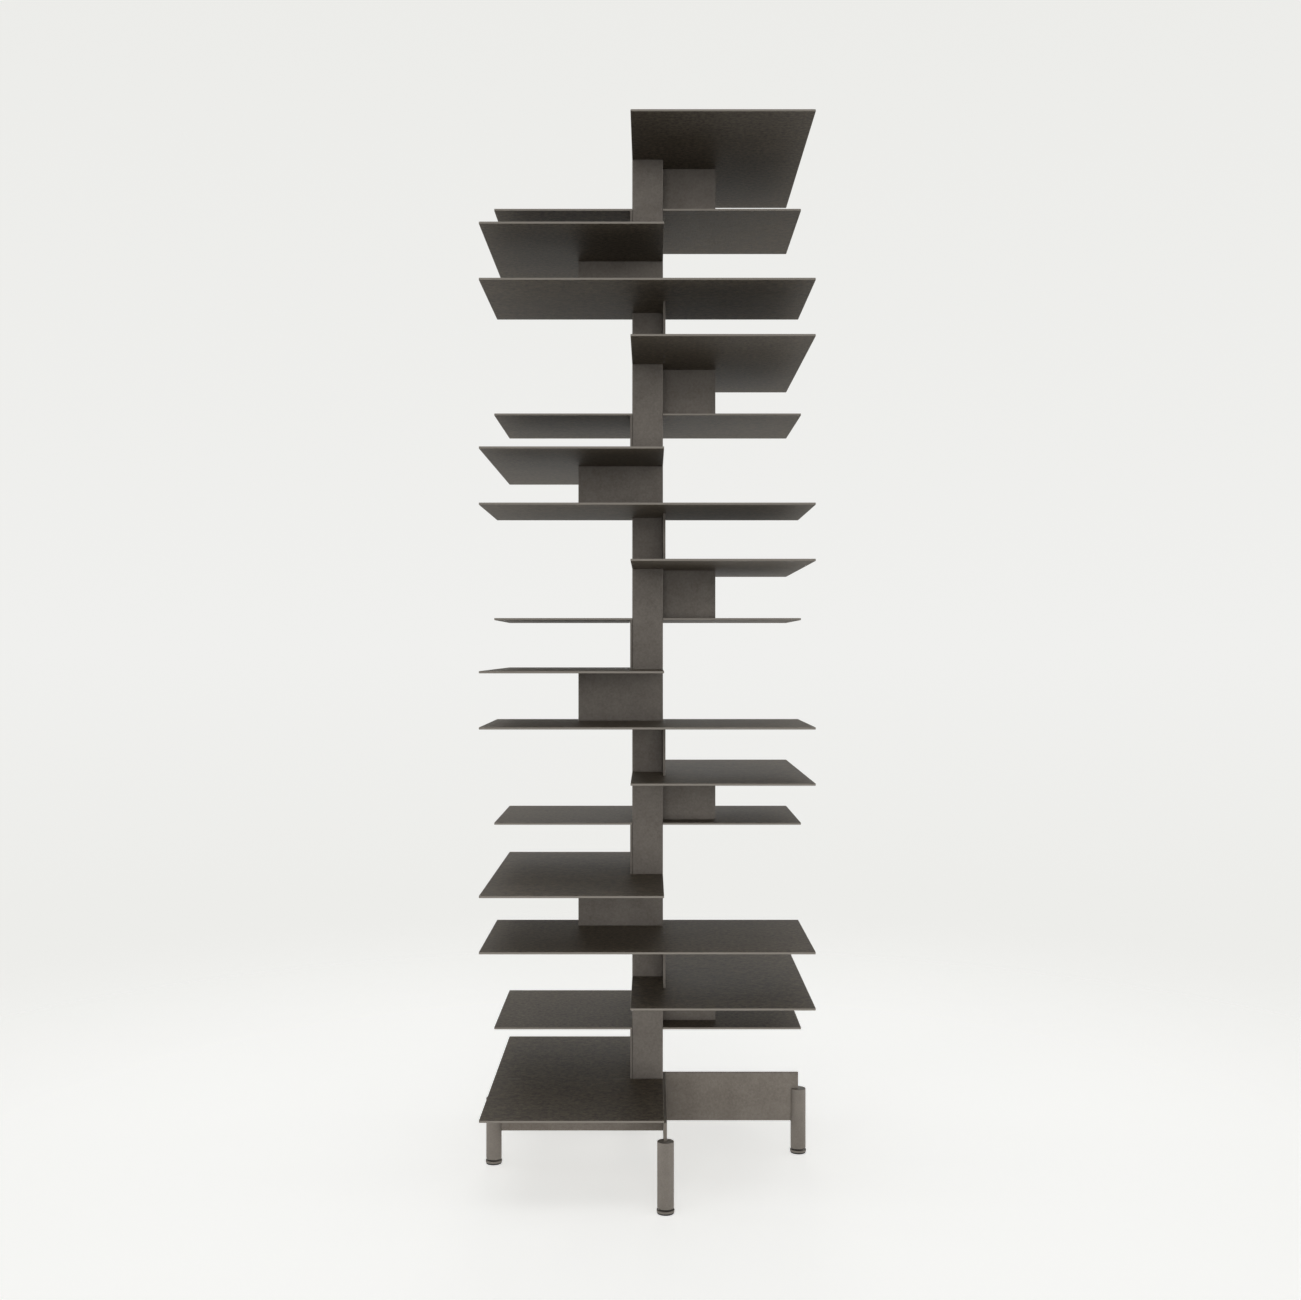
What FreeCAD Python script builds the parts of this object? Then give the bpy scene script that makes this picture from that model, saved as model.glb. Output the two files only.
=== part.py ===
import FreeCAD, Part
import os

# A free-standing tower bookcase in painted steel sheet. Nineteen equal shelves wind round one
# square column, each a quarter turn clockwise of the one below and one bracket higher, so that
# each corner of the plan gets a tall bay for books and a low bay for things that lie flat.
# Units are millimetres. The origin is on the floor, on the column's axis; +Z is up and +Y is the
# back. A piece is drawn for the left side, and its quarter turns give back, right and front.

# Plan
PLAN_SIDE = 600.0  # square that the outer edges of all the shelves lie on
COLUMN_SIDE = 60.0  # outside of the square tube
COLUMN_WALL = 2.5
COLUMN_CORNER = 3.0  # outer corner radius of the tube
FIT_GAP = 0.1  # all round a notch, slot or saw cut that takes another piece

# Shelves
SHELF_COUNT = 19
SHELF_SHEET = 4.0
SHELF_CORNER = 2.0  # corners of the outline, seen from above
EDGE_ROUND = 0.7  # broken edge along the rim of a sheet

# Brackets, one under each shelf but the lowest
BRACKET_SHEET = 4.0
BRACKET_HEIGHT = 96.0  # clear height from one shelf to the next
BRACKET_REACH = 105.0  # from the column's side out to the bracket's free end
TAB_LENGTH = 24.0  # each tab fills a slot in a shelf and ends flush with its far side
TAB_FROM_COLUMN = 25.0  # column's side to the middle of the inner tab
TAB_FROM_END = 25.0  # free end, or the leg, to the middle of the outer tab

# Base
BEAM_SHEET = 5.0
BEAM_HEIGHT = 96.0
BEAM_CLEARANCE = 64.0  # floor to the underside of the beams
LEG_DIAMETER = 30.0
LEG_STEP = 32.0  # top of a beam down to the top of its leg
LEG_ROUND = 0.8

# Levelling feet
FOOT_DIAMETER = 32.0
DISC_THICKNESS = 4.0
DISC_ROUND = 0.5
FOOT_GAP = 3.0  # bare stud between the disc and the leg
STUD_DIAMETER = 10.0
STUD_GAP = 0.05  # radial running clearance in the leg's thread
STUD_CHAMFER = 1.0
BORE_SPARE = 10.0  # bore above the end of the stud
BORE_ROOF = 10.0  # solid bar between the bore and the beam

# Glide pads, which snap into the discs from below
PAD_THICKNESS = 3.0
PAD_INSET = 1.0  # the pad is this much smaller in radius than the disc
PAD_ROUND = 0.6  # at the floor
SPIGOT_HEIGHT = 1.8
SPIGOT_GAP = 0.1  # round the spigot in the disc's hole, and above it

# Plug in the lower end of the column
PLUG_DEPTH = 20.0
PLUG_WALL = 2.0
LEAST_CORNER = 0.5  # smallest radius of an inside corner

SIDES = ["left", "back", "right", "front"]  # one quarter turn after another
FLAT = 1e-4  # an edge that rises less than this lies flat
Z_AXIS = FreeCAD.Vector(0, 0, 1)
ORIGIN = FreeCAD.Vector(0, 0, 0)
BEYOND = 10.0  # how far a cutting block runs past the face that it opens

plan_half = PLAN_SIDE / 2
column_half = COLUMN_SIDE / 2
leg_radius = LEG_DIAMETER / 2
shelf_pitch = SHELF_SHEET + BRACKET_HEIGHT
beam_top = BEAM_CLEARANCE + BEAM_HEIGHT
leg_top = beam_top - LEG_STEP
disc_top = PAD_THICKNESS + DISC_THICKNESS
leg_bottom = disc_top + FOOT_GAP
bore_top = BEAM_CLEARANCE - BORE_ROOF
leg_offset = column_half + BEAM_SHEET / 2  # of the beams and legs from the plan's middle lines
top_underside = beam_top + (SHELF_COUNT - 1) * shelf_pitch


def block(x, y, z):
    """A box from three (low, high) pairs."""
    low = FreeCAD.Vector(x[0], y[0], z[0])
    return Part.makeBox(x[1] - x[0], y[1] - y[0], z[1] - z[0], low)


def rod(radius, x, y, z):
    """An upright cylinder from z[0] to z[1]."""
    return Part.makeCylinder(radius, z[1] - z[0], FreeCAD.Vector(x, y, z[0]))


def quarter_turned(shape, turns):
    """A copy turned clockwise about the column's axis, seen from above."""
    turned = shape.copy()
    turned.rotate(ORIGIN, Z_AXIS, -360.0 / len(SIDES) * turns)
    return turned


def upright_edges(shape):
    """The straight vertical edges of a shape."""
    return [
        e
        for e in shape.Edges
        if isinstance(e.Curve, Part.Line) and abs(e.tangentAt(e.FirstParameter).z) > 1 - FLAT
    ]


def rim_edges(shape, z_levels):
    """The edges that lie flat at one of the given heights."""
    return [
        e
        for e in shape.Edges
        if any(abs(e.BoundBox.ZMin - z) < FLAT and abs(e.BoundBox.ZMax - z) < FLAT for z in z_levels)
    ]


def broken(thickness):
    """The radius of the broken edge on a sheet, at most a third of its thickness."""
    return min(EDGE_ROUND, thickness / 3)


def underside(number):
    """Height of the underside of a shelf. The lowest, number 0, lies on the beams."""
    return beam_top + number * shelf_pitch


def tab_spans(reach, end_margin):
    """The (low, high) X of both tabs on a plate that runs to the left of the column."""
    inner = -(column_half + TAB_FROM_COLUMN)
    outer = -(column_half + reach - end_margin - TAB_FROM_END)
    return [(middle - TAB_LENGTH / 2, middle + TAB_LENGTH / 2) for middle in (inner, outer)]


BRACKET_TABS = tab_spans(BRACKET_REACH, 0.0)
BEAM_TABS = tab_spans(plan_half - column_half, leg_radius)
BACK_BEAM_TABS = BEAM_TABS[1:]  # the lowest bracket's tabs come down where its inner one would be


def tabs(spans, sheet, z):
    """The tabs of a plate that lies against the column's front face."""
    return [block(span, (-column_half - sheet, -column_half), z) for span in spans]


def slots(spans, sheet, z):
    """The slots that take those tabs, cut right through a shelf."""
    y = (-column_half - sheet - FIT_GAP, -column_half + FIT_GAP)
    through = (z[0] - BEYOND, z[1] + BEYOND)
    return [block((low - FIT_GAP, high + FIT_GAP), y, through) for low, high in spans]


def square_bar(inset, z):
    """A square bar whose faces lie this far inside those of the column, with corners to match."""
    half = column_half - inset
    bar = block((-half, half), (-half, half), z)
    return bar.makeFillet(max(COLUMN_CORNER - inset, LEAST_CORNER), upright_edges(bar))


def column_tube():
    """The square tube that carries everything, from the beams' underside to the top shelf."""
    z = (BEAM_CLEARANCE, top_underside)
    bore = square_bar(COLUMN_WALL, (z[0] - BEYOND, z[1] + BEYOND))
    return square_bar(0.0, z).cut(bore)


def column_end_plug():
    """A moulded cup pushed into the tube's lower end, flush with it."""
    inset = COLUMN_WALL + FIT_GAP
    z = (BEAM_CLEARANCE, BEAM_CLEARANCE + PLUG_DEPTH)
    hollow = square_bar(inset + PLUG_WALL, (z[0] + PLUG_WALL, z[1] + BEYOND))
    return square_bar(inset, z).cut(hollow)


def shelf(number):
    """A shelf: half of the plan and half of the column's square, notched to slide on to the tube."""
    z = (underside(number), underside(number) + SHELF_SHEET)
    plate = block((-plan_half, column_half), (-plan_half, plan_half), z)
    plate = plate.makeFillet(SHELF_CORNER, upright_edges(plate))
    plate = plate.makeFillet(broken(SHELF_SHEET), rim_edges(plate, z))
    if number == 0:
        cuts = slots(BEAM_TABS, BEAM_SHEET, z)
        cuts += [quarter_turned(slot, 1) for slot in slots(BACK_BEAM_TABS, BEAM_SHEET, z)]
    else:
        cuts = slots(BRACKET_TABS, BRACKET_SHEET, z)
    if number < SHELF_COUNT - 1:
        notch_half = column_half + FIT_GAP
        through = (z[0] - BEYOND, z[1] + BEYOND)
        cuts.append(square_bar(-FIT_GAP, through))
        cuts.append(block((0.0, column_half + BEYOND), (-notch_half, notch_half), through))
        cuts += [quarter_turned(slot, 1) for slot in slots(BRACKET_TABS, BRACKET_SHEET, z)]
    return quarter_turned(plate.cut(cuts), number % len(SIDES))


def bracket(number):
    """The plate under a shelf, flat on the column, tabbed into the shelves above and below."""
    sheet = BRACKET_SHEET
    z = (underside(number) - BRACKET_HEIGHT, underside(number))
    x = (-column_half - BRACKET_REACH, column_half)
    plate = block(x, (-column_half - sheet, -column_half), z)
    plate = plate.makeFillet(broken(sheet), upright_edges(plate))
    joined = plate.fuse(
        tabs(BRACKET_TABS, sheet, (z[0] - SHELF_SHEET, z[0]))
        + tabs(BRACKET_TABS, sheet, (z[1], z[1] + SHELF_SHEET))
    )
    return quarter_turned(joined.removeSplitter(), number % len(SIDES))


def beam(turns):
    """A base beam on one face of the column, out to the middle of its leg."""
    z = (BEAM_CLEARANCE, beam_top)
    plate = block((-plan_half, column_half), (-column_half - BEAM_SHEET, -column_half), z)
    plate = plate.makeFillet(broken(BEAM_SHEET), upright_edges(plate))
    # Only the left and back beams lie wholly under the lowest shelf, which takes their tabs.
    spans = {"left": BEAM_TABS, "back": BACK_BEAM_TABS}.get(SIDES[turns], [])
    if spans:
        risers = tabs(spans, BEAM_SHEET, (z[1], z[1] + SHELF_SHEET))
        plate = plate.fuse(risers).removeSplitter()
    return quarter_turned(plate, turns)


def leg(turns):
    """A round bar, sawn to its middle for the beam and tapped from below for the foot."""
    x = -plan_half
    y = -leg_offset
    bar = rod(leg_radius, x, y, (leg_bottom, leg_top))
    bar = bar.makeFillet(LEG_ROUND, rim_edges(bar, (leg_bottom, leg_top)))
    half_cut = BEAM_SHEET / 2 + FIT_GAP
    saw_cut = block(
        (x - FIT_GAP, x + leg_radius + BEYOND),
        (y - half_cut, y + half_cut),
        (BEAM_CLEARANCE - FIT_GAP, leg_top + BEYOND),
    )
    bore = rod(STUD_DIAMETER / 2 + STUD_GAP, x, y, (leg_bottom - BEYOND, bore_top))
    return quarter_turned(bar.cut([saw_cut, bore]), turns)


def foot_disc(turns):
    """The turned disc of a levelling foot. Its hole is filled by the stud and the pad's spigot."""
    z = (PAD_THICKNESS, disc_top)
    disc = rod(FOOT_DIAMETER / 2, -plan_half, -leg_offset, z)
    disc = disc.makeFillet(DISC_ROUND, rim_edges(disc, z))
    hole = rod(STUD_DIAMETER / 2, -plan_half, -leg_offset, (z[0] - BEYOND, z[1] + BEYOND))
    return quarter_turned(disc.cut(hole), turns)


def foot_stud(turns):
    """The threaded stud, pressed into the disc from above and wound into the leg."""
    z = (PAD_THICKNESS + SPIGOT_HEIGHT + SPIGOT_GAP, bore_top - BORE_SPARE)
    stud = rod(STUD_DIAMETER / 2, -plan_half, -leg_offset, z)
    return quarter_turned(stud.makeChamfer(STUD_CHAMFER, rim_edges(stud, z[1:])), turns)


def glide_pad(turns):
    """The pad that meets the floor. It stands still while the disc turns on its spigot."""
    pad = rod(FOOT_DIAMETER / 2 - PAD_INSET, -plan_half, -leg_offset, (0.0, PAD_THICKNESS))
    pad = pad.makeFillet(PAD_ROUND, rim_edges(pad, [0.0]))
    spigot_radius = STUD_DIAMETER / 2 - SPIGOT_GAP
    spigot = rod(spigot_radius, -plan_half, -leg_offset, (0.0, PAD_THICKNESS + SPIGOT_HEIGHT))
    return quarter_turned(pad.fuse(spigot).removeSplitter(), turns)


def write(name, shape):
    """One STEP file for one named piece."""
    assert shape.isValid() and len(shape.Solids) == 1, name
    shape.exportStep(os.path.join("parts", name + ".step"))
    print(name, round(shape.Volume / 1000.0, 2), "cm3")


os.makedirs("parts", exist_ok=True)
write("column_tube", column_tube())
write("column_end_plug", column_end_plug())
for number in range(SHELF_COUNT):
    label = f"{number + 1:02d}_{SIDES[number % len(SIDES)]}"
    write("shelf_" + label, shelf(number))
    if number > 0:
        write("bracket_" + label, bracket(number))
for turns, side in enumerate(SIDES):
    write("beam_" + side, beam(turns))
    write("leg_" + side, leg(turns))
    write("foot_disc_" + side, foot_disc(turns))
    write("foot_stud_" + side, foot_stud(turns))
    write("glide_pad_" + side, glide_pad(turns))
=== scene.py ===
import math

import bmesh
import bpy
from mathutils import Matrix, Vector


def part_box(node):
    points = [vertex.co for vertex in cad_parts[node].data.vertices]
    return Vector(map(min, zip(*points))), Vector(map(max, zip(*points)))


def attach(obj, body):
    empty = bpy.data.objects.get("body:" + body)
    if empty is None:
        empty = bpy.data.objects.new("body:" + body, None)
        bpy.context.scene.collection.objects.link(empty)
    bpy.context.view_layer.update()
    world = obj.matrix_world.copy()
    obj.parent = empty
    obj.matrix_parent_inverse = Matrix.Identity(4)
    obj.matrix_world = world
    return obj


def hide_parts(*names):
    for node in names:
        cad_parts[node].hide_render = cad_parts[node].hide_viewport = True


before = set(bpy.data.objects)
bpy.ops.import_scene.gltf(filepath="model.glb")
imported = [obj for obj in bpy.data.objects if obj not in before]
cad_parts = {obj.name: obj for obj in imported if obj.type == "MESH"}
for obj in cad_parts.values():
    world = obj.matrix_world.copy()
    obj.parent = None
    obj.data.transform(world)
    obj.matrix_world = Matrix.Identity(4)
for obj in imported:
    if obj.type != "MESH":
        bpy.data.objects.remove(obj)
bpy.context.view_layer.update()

scene = bpy.context.scene
scene.view_settings.view_transform = "Standard"

# The camera stands at eye level for the middle shelves and looks straight at the bookcase with a
# normal lens of 43 mm. It isn't tilted, so the column stays upright, and the undersides show of the
# shelves above eye level and the tops of those below it.
FRAME_WIDTH_PX = 1301
FOCAL_LENGTH_PX = 1540.2
SENSOR_WIDTH_MM = 36.0
EYE_HEIGHT = 1.0016
EYE_TO_FRONT_EDGES = 2.7401
EYE_TO_THE_RIGHT = 0.0057
FARTHEST_SEEN = 200.0

shelf_front = min(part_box(name)[0].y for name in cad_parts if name.startswith("shelf_"))
lens = bpy.data.cameras.new("normal_lens")
lens.sensor_fit = "HORIZONTAL"
lens.sensor_width = SENSOR_WIDTH_MM
lens.lens = SENSOR_WIDTH_MM * FOCAL_LENGTH_PX / FRAME_WIDTH_PX
lens.clip_end = FARTHEST_SEEN
camera = bpy.data.objects.new("camera", lens)
camera.location = (EYE_TO_THE_RIGHT, shelf_front - EYE_TO_FRONT_EDGES, EYE_HEIGHT)
camera.rotation_euler = (math.radians(90.0), 0.0, 0.0)
scene.collection.objects.link(camera)
scene.camera = camera


# The studio is a pale seamless sweep of paper, lit from below, so that it glows. Round it stand a
# wide soft box low behind the camera, two weaker ones beside that, a strip box on each side of the
# bookcase, a low box behind it, and a weak one overhead.
SKY_HIGH = "#ECECE9"
SKY_LEVEL = "#F0F0EE"
SKY_LOW = "#EDEDEA"
SKY_STEEPNESS = 0.42
SKY_LOW_FROM = 0.32
SKY_LEVEL_AT = 0.5
EVEN_LIGHT = 0.05
EVEN_LIGHT_COLOUR = "#FFFFFF"


def linear(hex_colour):
    """An sRGB hex colour as linear RGBA."""
    parts = [int(hex_colour[i : i + 2], 16) / 255 for i in (1, 3, 5)]
    return [p / 12.92 if p <= 0.04045 else ((p + 0.055) / 1.055) ** 2.4 for p in parts] + [1.0]


def add(tree, kind, settings=None, inputs=None):
    """Adds a node. inputs takes sockets by name or number, each with a value or the output it gets."""
    made = tree.nodes.new(kind)
    for name, value in (settings or {}).items():
        setattr(made, name, value)
    for key, value in (inputs or {}).items():
        if isinstance(value, bpy.types.NodeSocket):
            tree.links.new(value, made.inputs[key])
        else:
            made.inputs[key].default_value = value
    return made


def seen_directly(tree):
    """1 for what the camera, a reflection or a clear material looks at, and 0 for light."""
    kinds = add(tree, "ShaderNodeLightPath").outputs
    either = add(
        tree,
        "ShaderNodeMath",
        {"operation": "MAXIMUM"},
        {0: kinds["Is Camera Ray"], 1: kinds["Is Glossy Ray"]},
    )
    return add(
        tree,
        "ShaderNodeMath",
        {"operation": "MAXIMUM"},
        {0: either.outputs[0], 1: kinds["Is Transmission Ray"]},
    ).outputs[0]


sky = bpy.data.worlds.new("pale_studio")
sky.use_nodes = True
sky.node_tree.nodes.clear()
ray = add(sky.node_tree, "ShaderNodeTexCoord")
height = add(sky.node_tree, "ShaderNodeSeparateXYZ", inputs={0: ray.outputs["Generated"]})
rise = add(
    sky.node_tree,
    "ShaderNodeMapRange",
    inputs={"Value": height.outputs["Z"], "From Min": -SKY_STEEPNESS, "From Max": SKY_STEEPNESS},
)
ramp = add(sky.node_tree, "ShaderNodeValToRGB", inputs={"Fac": rise.outputs[0]})
ramp.color_ramp.elements[0].position = SKY_LOW_FROM
ramp.color_ramp.elements[0].color = linear(SKY_LOW)
ramp.color_ramp.elements.new(SKY_LEVEL_AT).color = linear(SKY_LEVEL)
ramp.color_ramp.elements[2].color = linear(SKY_HIGH)
backdrop = add(sky.node_tree, "ShaderNodeBackground", inputs={"Color": ramp.outputs["Color"]})
even_light = add(
    sky.node_tree,
    "ShaderNodeBackground",
    inputs={"Color": linear(EVEN_LIGHT_COLOUR), "Strength": EVEN_LIGHT},
)
both = add(
    sky.node_tree,
    "ShaderNodeMixShader",
    inputs={0: seen_directly(sky.node_tree), 1: even_light.outputs[0], 2: backdrop.outputs[0]},
)
add(sky.node_tree, "ShaderNodeOutputWorld", inputs={"Surface": both.outputs[0]})
scene.world = sky


def far_soft_box(name, azimuth, elevation, spread, irradiance):
    """A large soft box so far away that every shelf gets it from the same direction.

    Its direction and its spread, as the shelves see it, are in degrees. It makes no highlight.
    """
    lamp = bpy.data.lights.new(name, "SUN")
    lamp.angle = math.radians(spread)
    lamp.energy = irradiance
    made = bpy.data.objects.new(name, lamp)
    made.rotation_euler = (math.radians(90.0 - elevation), 0.0, math.radians(azimuth))
    made.visible_glossy = False
    scene.collection.objects.link(made)


far_soft_box("front_soft_box", azimuth=0.0, elevation=4.0, spread=36.0, irradiance=2.08)
far_soft_box("front_right_soft_box", azimuth=40.0, elevation=4.0, spread=30.0, irradiance=0.35)
far_soft_box("front_left_soft_box", azimuth=-40.0, elevation=8.0, spread=30.0, irradiance=0.4)
far_soft_box("right_strip_box", azimuth=100.0, elevation=0.0, spread=12.0, irradiance=1.6)
far_soft_box("left_strip_box", azimuth=-100.0, elevation=0.0, spread=12.0, irradiance=1.6)
far_soft_box("back_soft_box", azimuth=180.0, elevation=3.0, spread=20.0, irradiance=1.4)
far_soft_box("overhead_soft_box", azimuth=0.0, elevation=90.0, spread=60.0, irradiance=0.6)

# The paper fades into the pale backdrop, so that no horizon shows. What the eye sees of its glow
# is shaded a little where the bookcase stands over it. What it sheds on the bookcase is set apart.
FLOOR_RADIUS = 12.0
FLOOR_SIDES = 96
FLOOR_FADE_FROM = 0.4
FLOOR_FADE_TO = 3.0
FLOOR_DROP = 0.0001
PAPER = "#F5F5F3"
PAPER_GLOW = 0.645
CONTACT_SHADE = 0.07
CONTACT_REACH = 0.32
PAPER_LIGHT = 0.47

disc = bmesh.new()
bmesh.ops.create_circle(disc, cap_ends=True, segments=FLOOR_SIDES, radius=FLOOR_RADIUS)
floor_mesh = bpy.data.meshes.new("paper_floor")
disc.to_mesh(floor_mesh)
disc.free()
paper_floor = bpy.data.objects.new("paper_floor", floor_mesh)
paper_floor.location.z = -FLOOR_DROP
scene.collection.objects.link(paper_floor)

paper = bpy.data.materials.new("matt_background_paper")
paper.use_nodes = True
tree = paper.node_tree
tree.nodes.clear()
spot = add(tree, "ShaderNodeTexCoord")
away = add(tree, "ShaderNodeVectorMath", {"operation": "LENGTH"}, {0: spot.outputs["Object"]})
fade = add(
    tree,
    "ShaderNodeMapRange",
    {"interpolation_type": "SMOOTHSTEP"},
    {"Value": away.outputs["Value"], "From Min": FLOOR_FADE_FROM, "From Max": FLOOR_FADE_TO},
)
near = add(tree, "ShaderNodeAmbientOcclusion", inputs={"Distance": CONTACT_REACH})
shade = add(
    tree,
    "ShaderNodeMapRange",
    inputs={
        "Value": near.outputs["AO"],
        "To Min": PAPER_GLOW * (1.0 - CONTACT_SHADE),
        "To Max": PAPER_GLOW,
    },
)
level = add(
    tree,
    "ShaderNodeMix",
    inputs={"Factor": seen_directly(tree), "A": PAPER_LIGHT, "B": shade.outputs[0]},
)
matt = add(tree, "ShaderNodeBsdfDiffuse", inputs={"Color": linear(PAPER)})
glow = add(
    tree, "ShaderNodeEmission", inputs={"Color": linear(PAPER), "Strength": level.outputs[0]}
)
lit = add(tree, "ShaderNodeAddShader", inputs={0: matt.outputs[0], 1: glow.outputs[0]})
clear = add(tree, "ShaderNodeBsdfTransparent")
seamless = add(
    tree,
    "ShaderNodeMixShader",
    inputs={0: fade.outputs[0], 1: lit.outputs[0], 2: clear.outputs[0]},
)
add(tree, "ShaderNodeOutputMaterial", inputs={"Surface": seamless.outputs[0]})
paper_floor.data.materials.append(paper)


# The column is one length of square steel tube. Like every sheet of the bookcase it is coated
# with fine-textured polyester powder in a dark bronze grey: no metal shows, and a dry grain
# breaks up every reflection.
MM = 0.001
COAT_DARK = "#56514C"
COAT_LIGHT = "#6D6862"
COAT_ROUGHNESS = 0.56
ROUGHNESS_SPREAD = 0.04
COAT_IOR = 1.5
HIGHLIGHT = 0.19  # a smooth lacquer's is 0.5
HIGHLIGHT_TINT = "#FFF3E6"
GRAIN_MM = 4.0
GRAIN_HEIGHT_MM = 0.2
EVEN_SHARE = 0.5
CLOUD_MM = 60.0
NOISE_LOW = 0.3
NOISE_HIGH = 0.7
FLAT_ABOVE = 0.9
UPRIGHT_BELOW = 0.5


def powder_coat(name, dark, light, roughness, grain_mm, bump_mm, grain_share=EVEN_SHARE, rim_highlight=None):
    """Baked polyester powder. Its real grain is 0.2 mm across, and is drawn as coarse as it needs to show.

    Its tone wanders from dark to light with the grain and with wide clouds, and grain_share says
    how much of that is the grain's. The highlight colour, where one is given, goes on upright faces:
    it is a painted highlight, which makes the edges of a sheet look lit.
    """
    material = bpy.data.materials.new(name)
    material.use_nodes = True
    tree = material.node_tree
    tree.nodes.clear()
    place = add(tree, "ShaderNodeTexCoord").outputs["Object"]
    cloud = add(
        tree,
        "ShaderNodeTexNoise",
        inputs={"Vector": place, "Scale": 1 / (CLOUD_MM * MM), "Detail": 3.0, "Roughness": 0.6},
    )
    grain = add(
        tree,
        "ShaderNodeTexNoise",
        inputs={"Vector": place, "Scale": 1 / (grain_mm * MM), "Detail": 2.0, "Roughness": 0.7},
    )
    blend = add(
        tree,
        "ShaderNodeMix",
        inputs={"Factor": grain_share, "A": cloud.outputs["Fac"], "B": grain.outputs["Fac"]},
    )
    tone = add(tree, "ShaderNodeValToRGB", inputs={"Fac": blend.outputs[0]})
    tone.color_ramp.elements[0].position = NOISE_LOW
    tone.color_ramp.elements[0].color = linear(dark)
    tone.color_ramp.elements[1].position = NOISE_HIGH
    tone.color_ramp.elements[1].color = linear(light)
    colour = tone.outputs["Color"]
    # Upright faces take the highlight colour: a painted highlight for the lit edges of the sheet.
    if rim_highlight:
        facing = add(tree, "ShaderNodeTexCoord").outputs["Normal"]
        upward = add(tree, "ShaderNodeSeparateXYZ", inputs={0: facing}).outputs["Z"]
        flat = add(tree, "ShaderNodeMath", {"operation": "ABSOLUTE"}, {0: upward})
        highlight_mask = add(
            tree,
            "ShaderNodeMapRange",
            inputs={"Value": flat.outputs[0], "From Min": FLAT_ABOVE, "From Max": UPRIGHT_BELOW},
        )
        highlit = add(
            tree,
            "ShaderNodeMix",
            {"data_type": "RGBA"},
            {"Factor": highlight_mask.outputs[0], "A": colour, "B": linear(rim_highlight)},
        )
        colour = highlit.outputs["Result"]
    gloss = add(
        tree,
        "ShaderNodeMapRange",
        inputs={
            "Value": grain.outputs["Fac"],
            "From Min": NOISE_LOW,
            "From Max": NOISE_HIGH,
            "To Min": roughness - ROUGHNESS_SPREAD,
            "To Max": roughness + ROUGHNESS_SPREAD,
        },
    )
    relief = add(
        tree,
        "ShaderNodeBump",
        inputs={"Height": grain.outputs["Fac"], "Distance": bump_mm * MM, "Strength": 1.0},
    )
    surface = add(
        tree,
        "ShaderNodeBsdfPrincipled",
        inputs={
            "Base Color": colour,
            "Roughness": gloss.outputs[0],
            "IOR": COAT_IOR,
            "Specular IOR Level": HIGHLIGHT,
            "Specular Tint": linear(HIGHLIGHT_TINT),
            "Normal": relief.outputs["Normal"],
        },
    )
    add(tree, "ShaderNodeOutputMaterial", inputs={"Surface": surface.outputs[0]})
    return material


def finish_nodes(prefix, material):
    """Gives a material to every CAD node whose name starts with this."""
    for name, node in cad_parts.items():
        if name.startswith(prefix):
            node.material_slots[0].material = material


fine_textured_coat = powder_coat(
    "fine_textured_powder_coat", COAT_DARK, COAT_LIGHT, COAT_ROUGHNESS, GRAIN_MM, GRAIN_HEIGHT_MM
)
finish_nodes("column_tube", fine_textured_coat)


# The nineteen shelves are equal plates of 4 mm steel sheet, laser cut and with their rims broken,
# so that the powder holds on the edges. Each is welded to the column a quarter turn on from the
# one below.

# The plates are seen at a low angle, which hides their grain and shows the pale room in them. So
# the grain is drawn coarser and stronger than the column's. The same powder is drawn darker and
# browner on them, and that darkening is painted shade, for the shade between the close-set shelves.
SHADED_PLATE_DARK = "#2F2821"
SHADED_PLATE_LIGHT = "#6E6558"
PLATE_GRAIN_MM = 8.0
PLATE_GRAIN_HEIGHT_MM = 0.5
PLATE_GRAIN_SHARE = 0.85
# The lighter colour that upright faces take is a painted highlight on the plates' edges.
RIM_HIGHLIGHT = "#7A756E"

# This copy of the powder carries painted shade, and a painted highlight on upright faces.
shaded_and_highlit_plate_coat = powder_coat(
    "plate_powder_coat_painted_shade_and_highlight",
    SHADED_PLATE_DARK,
    SHADED_PLATE_LIGHT,
    COAT_ROUGHNESS,
    PLATE_GRAIN_MM,
    PLATE_GRAIN_HEIGHT_MM,
    PLATE_GRAIN_SHARE,
    RIM_HIGHLIGHT,
)
finish_nodes("shelf_", shaded_and_highlit_plate_coat)


# A bracket stands under each shelf but the lowest. It is a small plate of the same sheet that
# lies against the column's side, with two tabs above and two below welded into slots in the
# shelves and ground flush.
finish_nodes("bracket_", fine_textured_coat)


# The four beams of the base are deeper plates of 5 mm sheet that run out from the column's faces
# like a pinwheel. They are welded to the column and, by their tabs, to the lowest shelf. The same
# powder is drawn a little lighter on them: painted light, for the light that the pale floor throws on
# them.
FLOOR_LIT_BASE_DARK = "#605A53"
FLOOR_LIT_BASE_LIGHT = "#78726B"

floor_lit_base_coat = powder_coat(
    "base_powder_coat_painted_floor_light", FLOOR_LIT_BASE_DARK, FLOOR_LIT_BASE_LIGHT, COAT_ROUGHNESS, GRAIN_MM, GRAIN_HEIGHT_MM
)
finish_nodes("beam_", floor_lit_base_coat)


# The legs are lengths of round steel bar, sawn down to the middle so that the beam's end slips
# in. They have the same colour as the sheet, in a slightly smoother powder. That powder is drawn
# lighter than the sheet's, which is painted light.
SATIN_LIT_DARK = "#67625C"
SATIN_LIT_LIGHT = "#7B756E"
SATIN_ROUGHNESS = 0.45
SATIN_GRAIN_MM = 3.0
SATIN_GRAIN_HEIGHT_MM = 0.04

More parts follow.
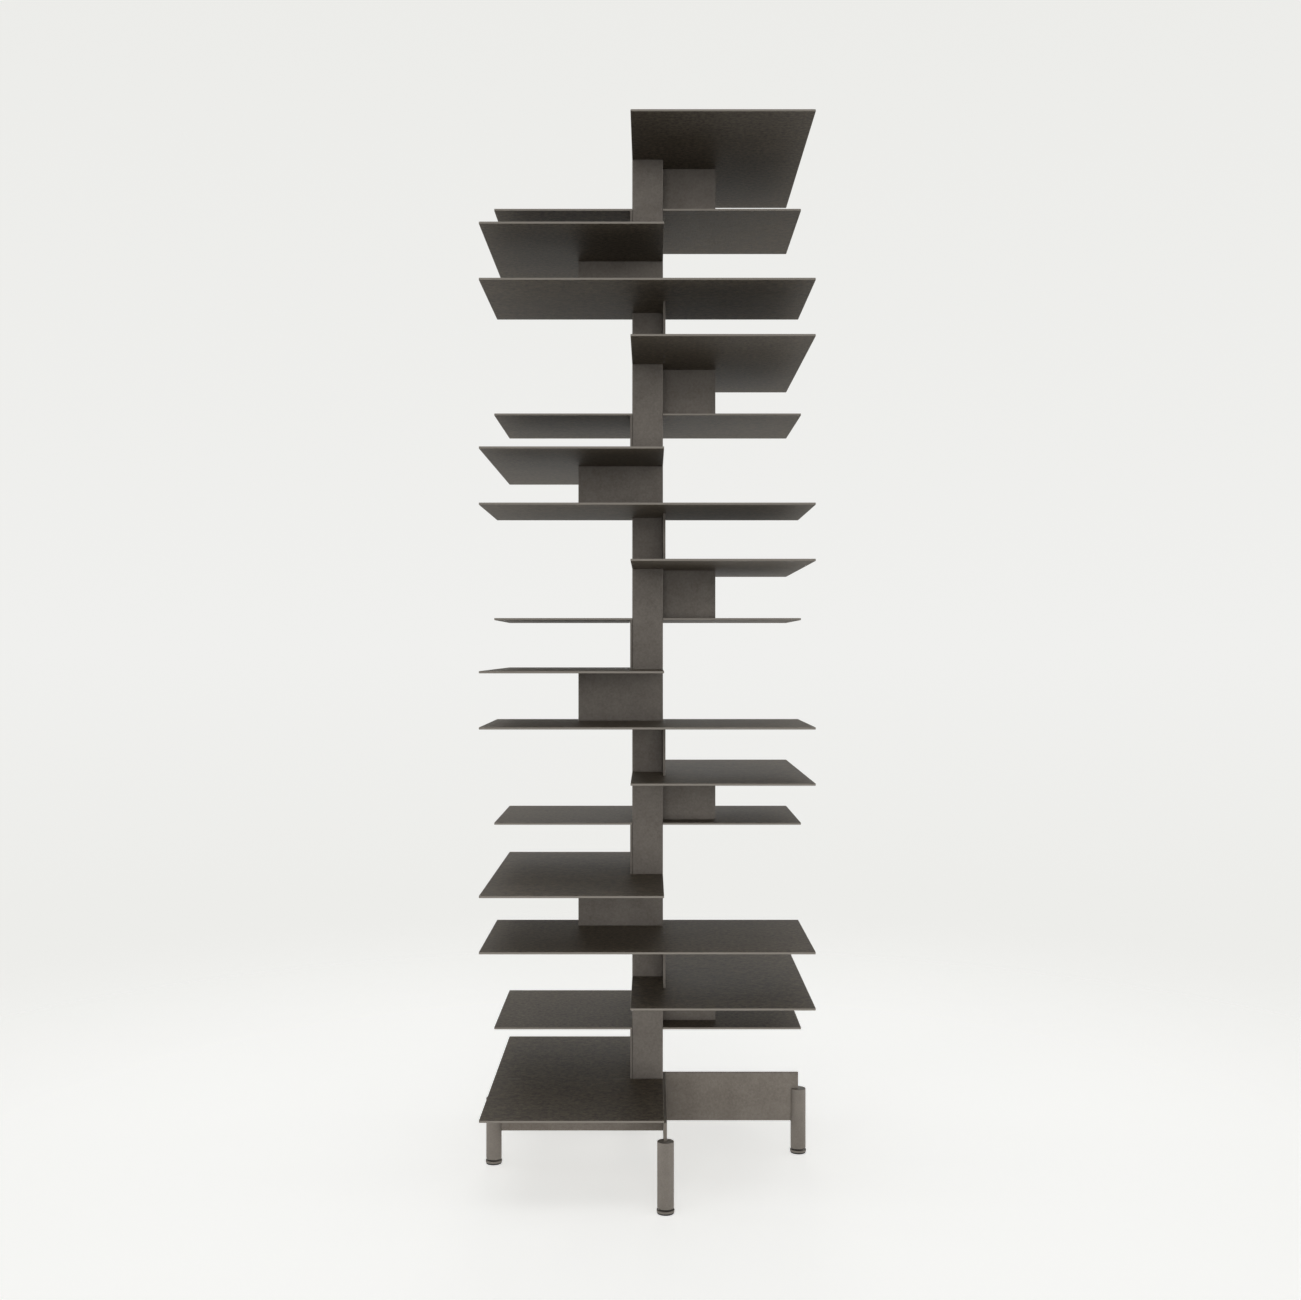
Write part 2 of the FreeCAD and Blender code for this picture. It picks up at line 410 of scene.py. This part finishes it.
lightened_satin_coat = powder_coat(
    "satin_powder_coat_painted_lighter", SATIN_LIT_DARK, SATIN_LIT_LIGHT, SATIN_ROUGHNESS, SATIN_GRAIN_MM, SATIN_GRAIN_HEIGHT_MM
)
finish_nodes("leg_", lightened_satin_coat)


# A turned steel disc, pressed on the stud, is what the fingers hold to level the bookcase. It is
# coated like the legs, and its powder too is drawn lighter than the sheet's, as painted light.
finish_nodes("foot_disc_", lightened_satin_coat)


# The studs are M10 set screws with a rolled thread of 1.5 mm pitch, zinc plated and cut flat at
# both ends. Only the 3 mm between the disc and the leg shows.
PITCH = 1.5 * MM
FLANK_ANGLE = math.radians(60.0)
CHAMFER = 1.0 * MM
ROWS_PER_TURN = 16
SIDES = 32
CREST_SHARE = 1 / 8
ROOT_SHARE = 1 / 4
HALF_PITCH = 0.5

sharp_depth = PITCH / 2 / math.tan(FLANK_ANGLE / 2)
thread_depth = sharp_depth * (1 - CREST_SHARE - ROOT_SHARE)

# Each point of a plain cylinder is drawn in to the radius that the thread has at its height and
# angle, or to the chamfer's cone near the ends, where that is smaller.
thread = bpy.data.node_groups.new("rolled_thread", "GeometryNodeTree")
thread.interface.new_socket("Geometry", in_out="OUTPUT", socket_type="NodeSocketGeometry")
size_sockets = {
    name: thread.interface.new_socket(name, in_out="INPUT", socket_type=kind).identifier
    for name, kind in (
        ("Radius", "NodeSocketFloat"),
        ("Depth of Thread", "NodeSocketFloat"),
        ("Pitch", "NodeSocketFloat"),
        ("Length", "NodeSocketFloat"),
        ("Chamfer", "NodeSocketFloat"),
        ("Rows", "NodeSocketInt"),
        ("Middle", "NodeSocketVector"),
        ("Finish", "NodeSocketMaterial"),
    )
}
sizes = add(thread, "NodeGroupInput").outputs
blank = add(
    thread,
    "GeometryNodeMeshCylinder",
    {"fill_type": "TRIANGLE_FAN"},
    {
        "Vertices": SIDES,
        "Side Segments": sizes["Rows"],
        "Radius": sizes["Radius"],
        "Depth": sizes["Length"],
    },
)
point = add(thread, "GeometryNodeInputPosition")
xyz = add(thread, "ShaderNodeSeparateXYZ", inputs={0: point.outputs[0]})
angle = add(
    thread, "ShaderNodeMath", {"operation": "ARCTAN2"}, {0: xyz.outputs["Y"], 1: xyz.outputs["X"]}
)
part_turn = add(
    thread, "ShaderNodeMath", {"operation": "DIVIDE"}, {0: angle.outputs[0], 1: 2 * math.pi}
)
turns_up = add(
    thread, "ShaderNodeMath", {"operation": "DIVIDE"}, {0: xyz.outputs["Z"], 1: sizes["Pitch"]}
)
phase = add(
    thread,
    "ShaderNodeMath",
    {"operation": "SUBTRACT"},
    {0: turns_up.outputs[0], 1: part_turn.outputs[0]},
)
ridge = add(
    thread, "ShaderNodeMath", {"operation": "PINGPONG"}, {0: phase.outputs[0], 1: HALF_PITCH}
)
root = add(
    thread,
    "ShaderNodeMath",
    {"operation": "SUBTRACT"},
    {0: sizes["Radius"], 1: sizes["Depth of Thread"]},
)
flank = add(
    thread,
    "ShaderNodeMapRange",
    inputs={
        "Value": ridge.outputs[0],
        "From Min": ROOT_SHARE / 2,
        "From Max": HALF_PITCH - CREST_SHARE / 2,
        "To Min": root.outputs[0],
        "To Max": sizes["Radius"],
    },
)
off_middle = add(thread, "ShaderNodeMath", {"operation": "ABSOLUTE"}, {0: xyz.outputs["Z"]})
to_end = add(
    thread,
    "ShaderNodeMath",
    {"operation": "MULTIPLY_ADD"},
    {0: sizes["Length"], 1: 0.5, 2: sizes["Radius"]},
)
cone_base = add(
    thread,
    "ShaderNodeMath",
    {"operation": "SUBTRACT"},
    {0: to_end.outputs[0], 1: sizes["Chamfer"]},
)
cone = add(
    thread,
    "ShaderNodeMath",
    {"operation": "SUBTRACT"},
    {0: cone_base.outputs[0], 1: off_middle.outputs[0]},
)
rolled = add(
    thread, "ShaderNodeMath", {"operation": "MINIMUM"}, {0: flank.outputs[0], 1: cone.outputs[0]}
)
share = add(
    thread, "ShaderNodeMath", {"operation": "DIVIDE"}, {0: rolled.outputs[0], 1: sizes["Radius"]}
)
squeeze = add(
    thread, "ShaderNodeCombineXYZ", inputs={"X": share.outputs[0], "Y": share.outputs[0], "Z": 1.0}
)
squeezed = add(
    thread,
    "ShaderNodeVectorMath",
    {"operation": "MULTIPLY"},
    {0: point.outputs[0], 1: squeeze.outputs[0]},
)
in_place = add(
    thread,
    "ShaderNodeVectorMath",
    {"operation": "ADD"},
    {0: squeezed.outputs[0], 1: sizes["Middle"]},
)
threaded = add(
    thread,
    "GeometryNodeSetPosition",
    inputs={"Geometry": blank.outputs["Mesh"], "Position": in_place.outputs[0]},
)
real = add(thread, "GeometryNodeRealizeInstances", inputs={0: threaded.outputs[0]})
plated = add(
    thread,
    "GeometryNodeSetMaterial",
    inputs={"Geometry": real.outputs[0], "Material": sizes["Finish"]},
)
add(thread, "NodeGroupOutput", inputs={0: plated.outputs[0]})

# Blue passivated zinc is a pale, half bright metal, clouded with stains that are a little duller.
ZINC_DARK = "#A3A6A6"
ZINC_LIGHT = "#BEBFBC"
STAIN_MM = 4.0
BRIGHT_ROUGHNESS = 0.3
DULL_ROUGHNESS = 0.45

zinc = bpy.data.materials.new("blue_passivated_zinc_plate")
zinc.use_nodes = True
tree = zinc.node_tree
tree.nodes.clear()
place = add(tree, "ShaderNodeTexCoord").outputs["Object"]
stain = add(
    tree, "ShaderNodeTexNoise", inputs={"Vector": place, "Scale": 1 / (STAIN_MM * MM), "Detail": 4.0}
)
tint = add(tree, "ShaderNodeValToRGB", inputs={"Fac": stain.outputs["Fac"]})
tint.color_ramp.elements[0].color = linear(ZINC_DARK)
tint.color_ramp.elements[1].color = linear(ZINC_LIGHT)
dull = add(
    tree,
    "ShaderNodeMapRange",
    inputs={"Value": stain.outputs["Fac"], "To Min": BRIGHT_ROUGHNESS, "To Max": DULL_ROUGHNESS},
)
surface = add(
    tree,
    "ShaderNodeBsdfPrincipled",
    inputs={"Base Color": tint.outputs["Color"], "Metallic": 1.0, "Roughness": dull.outputs[0]},
)
add(tree, "ShaderNodeOutputMaterial", inputs={"Surface": surface.outputs[0]})

for side in ("left", "back", "right", "front"):
    low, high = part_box(f"foot_stud_{side}")
    carrier = bpy.data.objects.new("stud_blank", bpy.data.meshes.new("stud_blank"))
    scene.collection.objects.link(carrier)
    rolling = carrier.modifiers.new("rolling", "NODES")
    rolling.node_group = thread
    set_sizes = {
        "Radius": (high.x - low.x) / 2,
        "Depth of Thread": thread_depth,
        "Pitch": PITCH,
        "Length": high.z - low.z,
        "Chamfer": CHAMFER,
        "Rows": round((high.z - low.z) / PITCH * ROWS_PER_TURN),
        "Middle": (low + high) / 2,
        "Finish": zinc,
    }
    for name, value in set_sizes.items():
        rolling[size_sockets[name]] = value
    depsgraph = bpy.context.evaluated_depsgraph_get()
    stud_mesh = bpy.data.meshes.new_from_object(carrier.evaluated_get(depsgraph))
    bpy.data.objects.remove(carrier)
    stud = bpy.data.objects.new(f"threaded_stud_{side}", stud_mesh)
    scene.collection.objects.link(stud)
    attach(stud, f"screw_{side}")
    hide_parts(f"foot_stud_{side}")


# The glide pads are moulded in black nylon with a snap-in spigot, so that they stay put on the
# floor while the disc turns on them.
def moulded_plastic(name, dark, light, ior, roughness, grain_mm, bump_mm):
    """A dyed thermoplastic with the fine spark-eroded grain of its mould."""
    material = bpy.data.materials.new(name)
    material.use_nodes = True
    tree = material.node_tree
    tree.nodes.clear()
    place = add(tree, "ShaderNodeTexCoord").outputs["Object"]
    grain = add(
        tree,
        "ShaderNodeTexNoise",
        inputs={"Vector": place, "Scale": 1 / (grain_mm * MM), "Detail": 3.0},
    )
    tone = add(tree, "ShaderNodeValToRGB", inputs={"Fac": grain.outputs["Fac"]})
    tone.color_ramp.elements[0].color = linear(dark)
    tone.color_ramp.elements[1].color = linear(light)
    relief = add(
        tree,
        "ShaderNodeBump",
        inputs={"Height": grain.outputs["Fac"], "Distance": bump_mm * MM, "Strength": 1.0},
    )
    surface = add(
        tree,
        "ShaderNodeBsdfPrincipled",
        inputs={
            "Base Color": tone.outputs["Color"],
            "Roughness": roughness,
            "IOR": ior,
            "Normal": relief.outputs["Normal"],
        },
    )
    add(tree, "ShaderNodeOutputMaterial", inputs={"Surface": surface.outputs[0]})
    return material


nylon = moulded_plastic(
    "black_nylon",
    dark="#1A1A1A",
    light="#242423",
    ior=1.53,
    roughness=0.55,
    grain_mm=0.5,
    bump_mm=0.02,
)
finish_nodes("glide_pad_", nylon)


# A ribless polyethylene plug is knocked into the column's lower end, and closes it against dust
# and insects. It is a little duller than the pads, with a coarser grain.
polyethylene = moulded_plastic(
    "black_polyethylene",
    dark="#161616",
    light="#202020",
    ior=1.51,
    roughness=0.6,
    grain_mm=0.8,
    bump_mm=0.03,
)
finish_nodes("column_end_plug", polyethylene)
